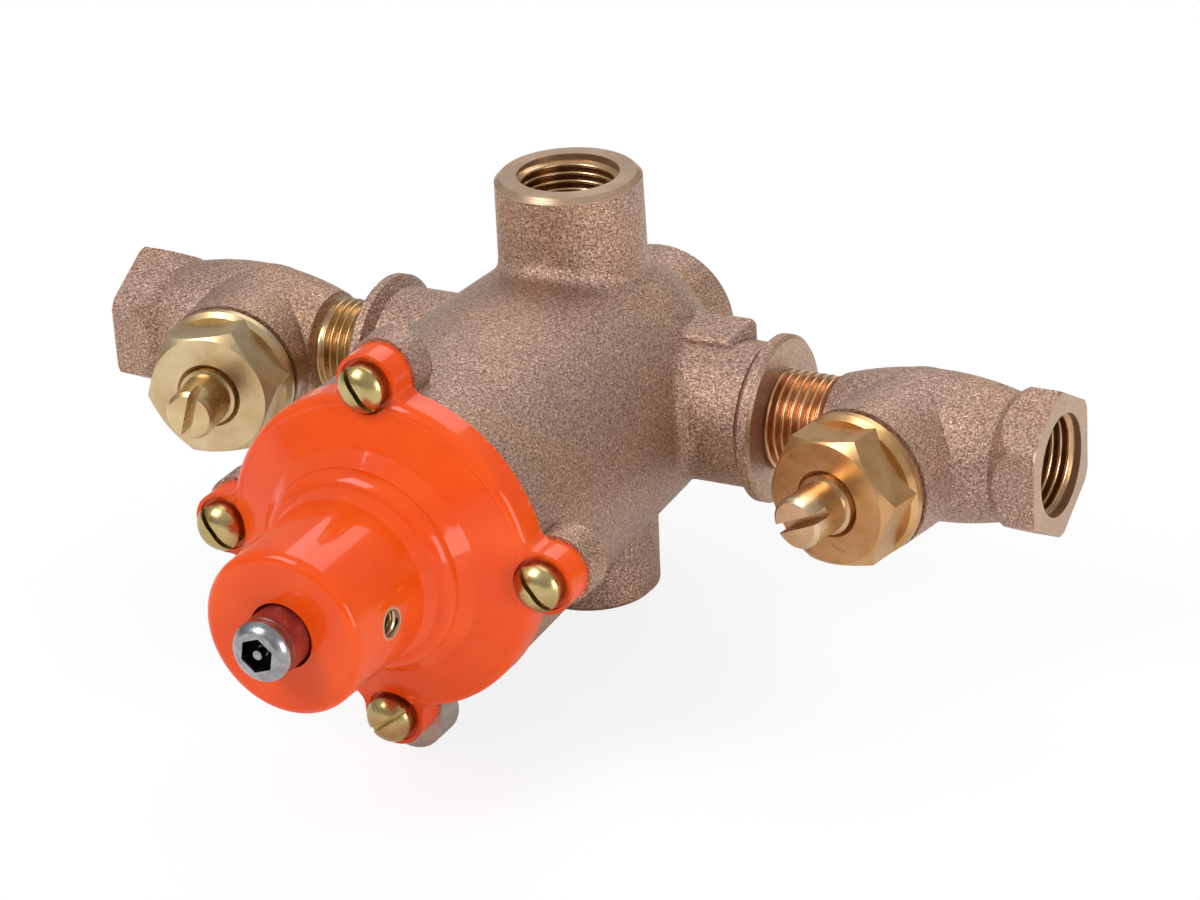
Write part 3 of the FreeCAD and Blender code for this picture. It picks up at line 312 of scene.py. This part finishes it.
def stem_enamel(name):
    """Brick-red lacquer over the stem, with the thread's metal showing through in places."""
    f = Finish(name, metallic=0.0, Coat_Weight=0.4, Coat_Roughness=0.2)
    worn = f.step(f.noise(1.3 * MM, detail=3.0), 0.6, 0.72)
    colour = f.blend(f.step(f.noise(3.5 * MM), 0.3, 0.7), linear(104, 28, 20), linear(136, 44, 32))
    colour = f.blend(f.sum("MULTIPLY", worn, 0.4), colour, linear(158, 96, 78))
    brushed = f.bump(f.noise(0.6 * MM, detail=3.0), 0.05 * MM, strength=0.6)
    return f.done(colour, f.between(worn, 0.42, 0.55), brushed)


def rubber(name, tone):
    f = Finish(name, metallic=0.0)
    dust = f.noise(1.2 * MM, detail=4.0)
    pale = tuple(min(1.0, c * 2.2 + 0.01) for c in tone[:3]) + (1.0,)
    colour = f.blend(f.step(dust, 0.4, 0.8), tone, pale)
    return f.done(colour, f.between(dust, 0.5, 0.75), f.bump(f.noise(0.25 * MM), 0.02 * MM, strength=0.5))


def drawn_metal(name, pale, deep, roughness):
    """Drawn or pressed metal of the inner pieces."""
    f = Finish(name)
    colour = f.blend(f.step(f.noise(2.0 * MM, detail=3.0), 0.3, 0.7), pale, deep)
    dull = f.between(f.noise(0.8 * MM, detail=3.0), roughness, roughness + 0.15)
    return f.done(colour, dull, f.bump(f.noise(0.3 * MM, stretch=(1, 4, 1)), 0.02 * MM, strength=0.3))


def thread_metal(name, pale, deep):
    """Freshly cut thread."""
    f = Finish(name)
    colour = f.blend(f.step(f.noise(4.0 * MM, detail=2.0), 0.3, 0.7), pale, deep)
    dull = f.between(f.noise(1.6 * MM, detail=2.0), 0.2, 0.3)
    return f.done(colour, dull, f.bump(f.noise(0.5 * MM), 0.01 * MM, strength=0.3))


def give(material, *nodes):
    for node in nodes:
        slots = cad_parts[node].material_slots
        for slot in slots:
            slot.material = material


give(cast_bronze("body_bronze", body_machined, body_turned, low_lug_floor_reflection), "valve_body")
give(cast_bronze("stop_bronze", stop_machined, stop_turned), "right_stop_body", "left_stop_body")
give(orange_enamel("orange_enamel"), "adjustment_cap")
give(brass("screw_brass", linear(194, 174, 120), linear(160, 138, 90), 0.24), "cap_screws")
give(brass("right_nut_brass", linear(214, 172, 122), linear(190, 144, 94), 0.28, stain=0.35),
     "right_bonnet_nut")
# the left nut's brass is paler than the right's partly as a painted reflection of the light on its face
give(brass("left_nut_brass_and_painted_sheen", linear(210, 188, 150), linear(188, 160, 116), 0.3, stain=0.12),
     "left_bonnet_nut")
give(brass("right_stem_brass", linear(214, 186, 150), linear(190, 158, 118), 0.24), "right_stop_stem")
give(brass("left_stem_brass", linear(208, 184, 142), linear(184, 156, 112), 0.24), "left_stop_stem")
give(bright_steel("tamper_steel", socket=True), "tamper_screw")
give(bright_steel("screw_steel"), "locking_screw")
give(stem_enamel("stem_enamel"), "adjusting_stem")
give(rubber("seal_rubber", linear(34, 33, 34)), "cap_seal", "stem_seal", "liner_seal_back",
     "liner_seal_middle", "liner_seal_front", "right_stop_seal", "left_stop_seal",
     "right_check_washer", "left_check_washer")
give(rubber("gasket_fibre", linear(120, 84, 62)), "right_bonnet_gasket", "left_bonnet_gasket")
give(drawn_metal("spring_steel", linear(150, 152, 156), linear(186, 188, 192), 0.25), "return_spring",
     "overload_spring", "right_check_spring", "left_check_spring")
give(drawn_metal("stainless", linear(186, 186, 184), linear(214, 213, 210), 0.28), "thrust_cup", "motor_ring",
     "liner_ring", "right_spring_seat", "left_spring_seat", "push_rod")
give(drawn_metal("motor_copper", linear(198, 122, 86), linear(224, 150, 108), 0.24),
     "thermal_motor", "motor_bellows")
give(drawn_metal("turned_brass", linear(206, 176, 112), linear(226, 198, 138), 0.24),
     "liner", "mixing_piston", "right_check_poppet", "left_check_poppet")


# ---------------------------------------------------------------- screw threads

def smooth(share):
    share = min(1.0, max(0.0, share))
    return share * share * (3 - 2 * share)


def thread(name, foot, crest, start, end, way, material, pitch=THREAD_PITCH):
    """A helical thread from start to end along its own axis, that fades in and out at its ends.

    way carries that axis, Z, to the port's. The foot is the wall's radius, the crest the thread's own.
    """
    steps_a_turn = 96
    fade = 0.4    # of a turn
    flank = (-0.5, -0.36, -0.22, -0.1, 0.0, 0.1, 0.22, 0.36, 0.5)
    sunk = foot + math.copysign(BITE, foot - crest)
    turns = (end - start) / pitch - 1
    steps = int(turns * steps_a_turn)
    points, faces = [], []
    ring = len(flank) + 2
    for i in range(steps + 1):
        turn = i / steps_a_turn
        height = smooth(turn / fade) * smooth((turns - turn) / fade)
        along = start + (turn + 0.5) * pitch
        angle = math.tau * turn
        outline = [(sunk, flank[0])]
        outline += [(foot + (crest - foot) * height * smooth(1.12 - 2.24 * abs(t)), t) for t in flank]
        outline += [(sunk, flank[-1])]
        for radius, t in outline:
            points.append(way @ Vector((radius * math.cos(angle), radius * math.sin(angle),
                                        along + t * pitch)))
    for i in range(steps):
        for j in range(ring):
            k = (j + 1) % ring
            faces.append((i * ring + j, i * ring + k, (i + 1) * ring + k, (i + 1) * ring + j))
    faces.append(tuple(range(ring)))
    faces.append(tuple(steps * ring + j for j in reversed(range(ring))))
    mesh = bpy.data.meshes.new(name)
    mesh.from_pydata(points, [], faces)
    mesh.validate()
    mesh.shade_smooth()
    piece = bpy.data.objects.new(name, mesh)
    bpy.context.scene.collection.objects.link(piece)
    mesh.materials.append(material)
    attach(piece, "root")


UPWARD = Matrix.Translation(PORT)
TO_RIGHT = UPWARD @ Matrix.Rotation(math.radians(90), 4, "Y")
TO_LEFT = UPWARD @ Matrix.Rotation(math.radians(-90), 4, "Y")
copper_thread = thread_metal("copper_thread", linear(218, 172, 132), linear(198, 148, 106))
golden_thread = thread_metal("golden_thread", linear(212, 182, 138), linear(186, 152, 108))
bore_thread = thread_metal("bore_thread", linear(206, 170, 132), linear(182, 144, 104))
for side, way, metal in (("right", TO_RIGHT, copper_thread), ("left", TO_LEFT, golden_thread)):
    thread(side + "_male_thread", THREAD_ROOT, THREAD_CREST - 0.05 * MM, COLLAR_FACE - 1.6 * MM,
           STOP_SHOULDER - 0.1 * MM, way, metal)
    thread(side + "_inlet_thread", THREAD_CREST, FEMALE_CREST, HEX_FACE - FEMALE_LENGTH, HEX_FACE - RUNOUT,
           way, bore_thread)
thread("outlet_thread", THREAD_CREST, FEMALE_CREST, -PORT.z - FEMALE_LENGTH, -PORT.z - RUNOUT, UPWARD,
       bore_thread)
thread("lock_thread", LOCK_RADIUS, LOCK_RADIUS - 0.4 * MM, 14.4 * MM, 17.0 * MM,
       Matrix.Translation((0.0, LOCK_PLACE, 0.0)) @ TO_RIGHT, bore_thread, LOCK_PITCH)


# ---------------------------------------------------------------- camera

AZIMUTH, ELEVATION, ROLL = (math.radians(v) for v in (29.28, 24.291, -3.552))
DISTANCE = 885.5 * MM
SENSOR, LENS = 36.0, 126.56    # as a camera's maker gives them, in millimetres
AIM = Vector((3.95 * MM, -13.56 * MM))    # where the view is aimed, to the right of and above the port centre

level = Vector((math.cos(AZIMUTH), math.sin(AZIMUTH), 0.0))
ahead = Vector((math.sin(AZIMUTH), -math.cos(AZIMUTH), 0.0))
back = ahead * math.cos(ELEVATION) + Vector((0.0, 0.0, math.sin(ELEVATION)))
above = back.cross(level)
right = level * math.cos(ROLL) + above * math.sin(ROLL)
up = above * math.cos(ROLL) - level * math.sin(ROLL)

camera_data = bpy.data.cameras.new("camera")
camera_data.sensor_width = SENSOR
camera_data.lens = LENS
camera_data.clip_start = 0.01
camera_data.clip_end = 50.0
camera = bpy.data.objects.new("camera", camera_data)
bpy.context.scene.collection.objects.link(camera)
eye = PORT + back * DISTANCE
sight = (eye - PORT - right * AIM.x - up * AIM.y).normalized()
across = up.cross(sight).normalized()
turn = Matrix((across, sight.cross(across), sight)).transposed()
camera.matrix_world = Matrix.Translation(eye) @ turn.to_4x4()
bpy.context.scene.camera = camera


# ---------------------------------------------------------------- studio

def softbox(name, place, width, height, power):
    """An area light aimed at the port centre. place is given to the right, up and back from it."""
    data = bpy.data.lights.new(name, "AREA")
    data.shape = "RECTANGLE"
    data.size, data.size_y = width, height
    data.energy = power
    light = bpy.data.objects.new(name, data)
    bpy.context.scene.collection.objects.link(light)
    spot = PORT + right * place[0] + up * place[1] + back * place[2]
    aim = (spot - PORT).to_track_quat("Z", "Y")
    light.matrix_world = Matrix.Translation(spot) @ aim.to_matrix().to_4x4()


softbox("key", (-0.95, 0.7, 0.95), 0.6, 0.8, 12.0)
softbox("fill", (1.1, -0.2, 1.05), 0.8, 0.9, 13.0)
softbox("top", (0.25, 1.35, -0.35), 1.0, 0.7, 5.5)

world = bpy.data.worlds.new("studio")
bpy.context.scene.world = world
world.use_nodes = True
sky = world.node_tree
sky.nodes.clear()
to_sky = sky.nodes.new("ShaderNodeOutputWorld")
seen = sky.nodes.new("ShaderNodeLightPath")
glow = sky.nodes.new("ShaderNodeBackground")
white = sky.nodes.new("ShaderNodeBackground")
white.inputs["Color"].default_value = (1.0, 1.0, 1.0, 1.0)
direction = sky.nodes.new("ShaderNodeTexCoord")
height = sky.nodes.new("ShaderNodeSeparateXYZ")
shade = sky.nodes.new("ShaderNodeMapRange")
choose = sky.nodes.new("ShaderNodeMixShader")
sky.links.new(direction.outputs["Generated"], height.inputs[0])
sky.links.new(height.outputs["Z"], shade.inputs["Value"])
shade.inputs["From Min"].default_value = -0.1
shade.inputs["From Max"].default_value = 0.9
shade.inputs["To Min"].default_value = 0.32
shade.inputs["To Max"].default_value = 0.85
sky.links.new(shade.outputs["Result"], glow.inputs["Strength"])
sky.links.new(seen.outputs["Is Camera Ray"], choose.inputs["Fac"])
sky.links.new(glow.outputs[0], choose.inputs[1])
sky.links.new(white.outputs[0], choose.inputs[2])
sky.links.new(choose.outputs[0], to_sky.inputs["Surface"])


def pale_floor():
    """A white floor that keeps the object's soft shadow near it and turns to plain white further out."""
    f = Finish("floor_white", metallic=0.0, Roughness=0.9)
    glow = f.nodes.new("ShaderNodeEmission")
    glow.inputs["Color"].default_value = (1.0, 1.0, 1.0, 1.0)
    mixed = f.nodes.new("ShaderNodeMixShader")
    path = f.nodes.new("ShaderNodeLightPath")
    seen = f.either(path.outputs["Is Camera Ray"], path.outputs["Is Transmission Ray"])
    away = f.between(f.step(f.radius(f.x, f.y), 0.06, 0.26), 0.84, 1.0)
    f.links.new(f.both(seen, away), mixed.inputs["Fac"])
    f.links.new(f.shader.outputs[0], mixed.inputs[1])
    f.links.new(glow.outputs[0], mixed.inputs[2])
    output = next(n for n in f.nodes if n.type == "OUTPUT_MATERIAL")
    f.links.new(mixed.outputs[0], output.inputs["Surface"])
    paper = f.blend(f.noise(0.4, detail=2.0), (0.93, 0.93, 0.93, 1.0), (0.96, 0.96, 0.955, 1.0))
    return f.done(paper, 0.9, f.bump(f.noise(0.05), 0.2 * MM, strength=0.05))


floor_mesh = bpy.data.meshes.new("floor")
REACH = 4.0
LEVEL = cad_bounds[0].z - 0.2 * MM
corners = [(-REACH, -REACH, LEVEL), (REACH, -REACH, LEVEL), (REACH, REACH, LEVEL), (-REACH, REACH, LEVEL)]
floor_mesh.from_pydata(corners, [], [(0, 1, 2, 3)])
floor = bpy.data.objects.new("floor", floor_mesh)
bpy.context.scene.collection.objects.link(floor)
floor_mesh.materials.append(pale_floor())

bpy.context.scene.view_settings.view_transform = "Standard"
